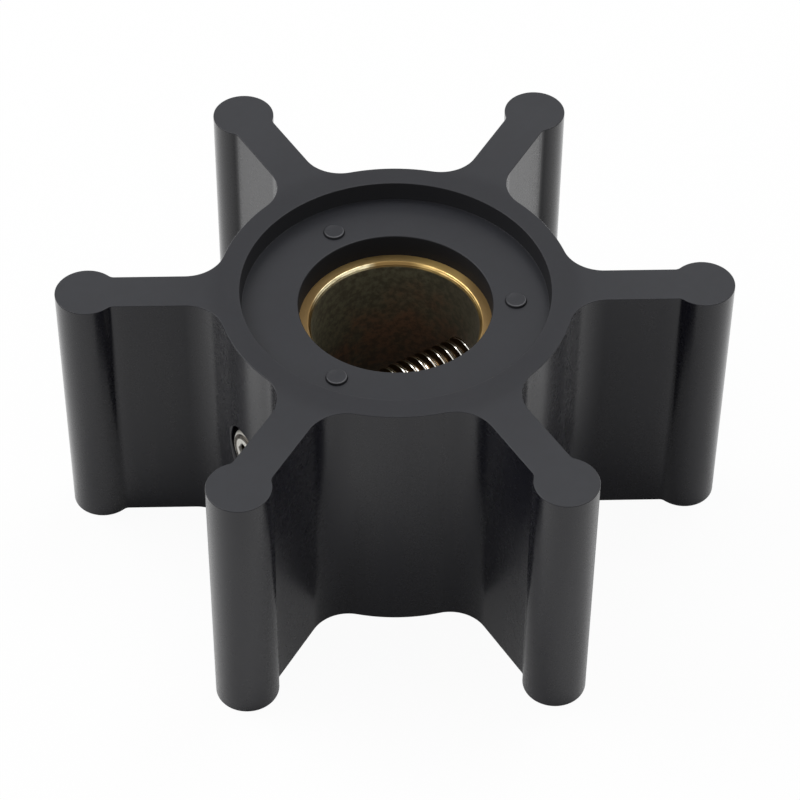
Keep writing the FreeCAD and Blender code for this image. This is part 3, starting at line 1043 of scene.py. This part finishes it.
@dataclass
class DriveScrew:
    """The headless drive screw: a full thread, a chamfered point and a hexagon socket."""

    start: float = SCREW_START
    length: float = 22.0
    middle: float = SCREW_MIDDLE
    crest_radius: float = 2.085
    thread_depth: float = 0.44
    pitch: float = 0.79375
    steps_round: int = 48
    socket_chamfer: float = 0.28
    point_chamfer: float = 0.5
    socket_across: float = 1.98
    socket_depth: float = 2.2
    crease: float = 28.0
    # The thread's section over one pitch: along the screw, with the height over the root or below the crest.
    rise: Corners = ((0.0, 0.0), (0.06, 0.01), (0.12, 0.06))
    near_ridge: Corners = ((0.27, 0.06), (0.29, 0.02), (0.36, 0.0), (0.38, 0.05))
    far_ridge: Corners = ((0.45, 0.05), (0.47, 0.002), (0.54, 0.008), (0.56, 0.05))
    fall: Corners = ((0.67, 0.06), (0.73, 0.01), (0.79375, 0.0))
    # Turns of thread before the screw's start, and turns in all beyond the screw's length.
    lead_turns: float = 1.95
    spare_turns: int = 3
    finish: Finish = field(default_factory=ScrewSteel)

    @property
    def end(self) -> float:
        """Where the screw's point ends along X."""
        return self.start + self.length

    def build(self) -> bpy.types.Object:
        """Cut the thread, trim its ends and broach the socket.

        Returns:
            The finished object.
        """
        piece = Workpiece()
        self._one_turn(piece)
        self._all_turns(piece)
        self._trim(piece)
        thing = piece.as_object("threaded_screw")
        shape_with(thing, self._blank(), Cut.KEEP_COMMON)
        shape_with(thing, self._broach(), Cut.TAKE_AWAY)
        smooth_object(thing, self.crease)
        wear(thing, self.finish)
        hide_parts("drive_screw")
        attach(thing, "root")
        return thing

    def _one_turn(self, piece: Workpiece) -> None:
        """Sweep the thread's section once round as a right-hand screw, and a hair further."""
        root = self.crest_radius - self.thread_depth
        first = self.start - self.lead_turns * self.pitch
        section = [(x, root + up) for x, up in self.rise]
        section += [(x, self.crest_radius - down) for x, down in (*self.near_ridge, *self.far_ridge)]
        section += [(x, root + up) for x, up in self.fall]
        edges = piece.path([(first + x, 0.0, self.middle + r) for x, r in section])
        piece.turn(edges, self.steps_round, 360.001, (0.0, 0.0, self.middle), X_AXIS, self.pitch)

    def _all_turns(self, piece: Workpiece) -> None:
        """Repeat the one turn along the screw and join the turns."""
        one = piece.everything()
        for number in range(1, math.ceil(self.length / self.pitch) + self.spare_turns):
            copy = bmesh.ops.duplicate(piece.bm, geom=one)["geom"]
            piece.shift(copy, X_AXIS * (self.pitch * number))
        bmesh.ops.remove_doubles(piece.bm, verts=piece.bm.verts[:], dist=2.0 * NEAR)

    def _trim(self, piece: Workpiece) -> None:
        """Cut the thread off square at both ends and close it."""
        for place, outward in ((self.start, -1.0), (self.end, 1.0)):
            bmesh.ops.bisect_plane(
                piece.bm,
                geom=piece.everything(),
                plane_co=X_AXIS * place,
                plane_no=X_AXIS * outward,
                clear_outer=True,
                dist=MERGE / 10.0,
            )
            rim = [e for e in piece.bm.edges if e.is_boundary]
            rim = [e for e in rim if all(abs(v.co.x - place) < NEAR for v in e.verts)]
            bmesh.ops.contextual_create(piece.bm, geom=rim)
        piece.outward()

    def _blank(self) -> Workpiece:
        """The bar that the thread stays within, with its two chamfered ends."""
        past, clear = 0.5, 0.2
        wide = self.crest_radius + clear
        return turned_bar(
            [
                (self.start - past, 0.0),
                (self.start - past, self.crest_radius - self.socket_chamfer - past),
                (self.start + self.socket_chamfer + clear, wide),
                (self.end - self.point_chamfer - clear, wide),
                (self.end + past, self.crest_radius - self.point_chamfer - past),
                (self.end + past, 0.0),
            ],
            self.middle,
        )

    def _broach(self) -> Workpiece:
        """The hexagon socket's space, with a short lead-in."""
        tool = Workpiece()
        lead = 1.0
        corner = self.socket_across / math.sqrt(3.0)
        made = bmesh.ops.create_circle(tool.bm, cap_ends=True, segments=6, radius=corner)
        place = Matrix.Translation(Vector((self.start - lead, 0.0, self.middle)))
        turn = Matrix.Rotation(math.radians(90.0), 4, "Y")
        bmesh.ops.transform(tool.bm, matrix=place @ turn, verts=made["verts"])
        grown = bmesh.ops.extrude_face_region(tool.bm, geom=tool.bm.faces[:])["geom"]
        tool.shift(grown, X_AXIS * (self.socket_depth + lead))
        tool.outward()
        return tool


@dataclass(frozen=True)
class Lamp:
    """A square soft lamp, with its place and side in metres and its power in watts."""

    name: str
    place: tuple[float, float, float]
    side: float
    power: float

    def hang(self, aim: Vector) -> None:
        """Hang it so that it looks at a place."""
        data = bpy.data.lights.new(self.name, "AREA")
        data.shape = "SQUARE"
        data.size = self.side
        data.energy = self.power
        lamp = bpy.data.objects.new(self.name, data)
        bpy.context.scene.collection.objects.link(lamp)
        lamp.location = self.place
        lamp.rotation_euler = (Vector(self.place) - aim).to_track_quat("Z", "Y").to_euler()


@dataclass
class Studio:
    """A white sweep of floor, soft lamps and the camera.

    The camera's distance, its target and its lens, and the floor's half side and gap, are in millimetres. The
    floor and the sky each have a share of plain white that the camera sees and one that gloss shows.
    """

    azimuth: float = -31.911
    elevation: float = 45.827
    roll: float = 0.514
    distance: float = 238.919
    target: tuple[float, float, float] = (-0.132, -0.964, 11.1)
    lens: float = 139.742
    sensor: float = 36.0
    daylight: float = 0.45
    floor_colour: Colour = (0.9, 0.9, 0.9, 1.0)
    floor_reach: float = 6000.0
    floor_gap: float = 0.01
    floor_show: float = 0.95
    floor_gloss: float = 0.06
    sky_show: float = 1.0
    sky_gloss: float = 0.9
    lamp_aim: tuple[float, float, float] = (0.0, 0.0, 0.011)
    lamps: tuple[Lamp, ...] = (
        Lamp("key_lamp", (-0.35, 0.45, 0.75), 0.55, 4.4),
        Lamp("fill_lamp", (0.36, 0.1, 0.84), 0.36, 2.2),
    )

    def build(self) -> None:
        """Set up everything round the part."""
        self._camera()
        self._floor()
        self._world()
        for lamp in self.lamps:
            lamp.hang(Vector(self.lamp_aim))
        bpy.context.scene.view_settings.view_transform = "Standard"

    def _camera(self) -> None:
        """Place the camera at the photograph's angle."""
        a, e, r = (math.radians(v) for v in (self.azimuth, self.elevation, self.roll))
        back = Vector((math.sin(a) * math.cos(e), -math.cos(a) * math.cos(e), math.sin(e)))
        right = Vector((math.cos(a), math.sin(a), 0.0))
        up = back.cross(right)
        across = right * math.cos(r) + up * math.sin(r)
        upward = up * math.cos(r) - right * math.sin(r)
        data = bpy.data.cameras.new("camera")
        data.lens = self.lens
        data.sensor_width = self.sensor
        data.clip_start = 0.01
        data.clip_end = 50.0
        camera = bpy.data.objects.new("camera", data)
        bpy.context.scene.collection.objects.link(camera)
        place = (Vector(self.target) + back * self.distance) * MM
        turned = Matrix((across, upward, back)).transposed().to_4x4()
        camera.matrix_world = Matrix.Translation(place) @ turned
        bpy.context.scene.camera = camera

    @staticmethod
    def _partly_white(recipe: Recipe, lit: Signal, kind: str, straight: float, gloss: float) -> Signal:
        """Mix white from a kind of node into a shader: a share for the camera, and one that gloss shows."""
        rays = ("Camera", "Glossy", "Transmission")
        camera, glossy, through = (recipe.node("ShaderNodeLightPath", output=f"Is {ray} Ray") for ray in rays)
        white = recipe.node(kind, {}, {"Color": WHITE, "Strength": 1.0})
        share = (camera + through) * straight + glossy * gloss
        return recipe.node("ShaderNodeMixShader", {}, {0: share, 1: lit, 2: white})

    def _floor(self) -> None:
        """Lay a wide pale floor that shows white and keeps the part's shadow."""
        floor = Workpiece()
        bmesh.ops.create_grid(floor.bm, x_segments=1, y_segments=1, size=self.floor_reach)
        floor.shift(floor.bm.verts[:], -Z_AXIS * self.floor_gap)
        thing = floor.as_object("floor", keep=False)
        made = bpy.data.materials.new("pale_floor")
        made.use_nodes = True
        recipe = Recipe(made.node_tree)
        lit = recipe.node("ShaderNodeBsdfDiffuse", {}, {"Color": self.floor_colour})
        mixed = self._partly_white(recipe, lit, "ShaderNodeEmission", self.floor_show, self.floor_gloss)
        recipe.finish("ShaderNodeOutputMaterial", mixed)
        thing.data.materials.append(made)

    def _world(self) -> None:
        """Even daylight that shows as white."""
        world = bpy.data.worlds.new("daylight")
        world.use_nodes = True
        bpy.context.scene.world = world
        recipe = Recipe(world.node_tree)
        light = recipe.node("ShaderNodeBackground", {}, {"Color": WHITE, "Strength": self.daylight})
        mixed = self._partly_white(recipe, light, "ShaderNodeBackground", self.sky_show, self.sky_gloss)
        recipe.finish("ShaderNodeOutputWorld", mixed)


def main() -> None:
    """Load the frame, build each piece in order and set up the studio."""
    logging.basicConfig(level=logging.INFO, format="%(name)s: %(message)s")
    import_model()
    for maker in (RubberMoulding(), BrassBush(), DriveScrew()):
        made = maker.build()
        log.info("%s built, %d corners", made.name, len(made.data.vertices))
    Studio().build()


if __name__ == "__main__":
    main()
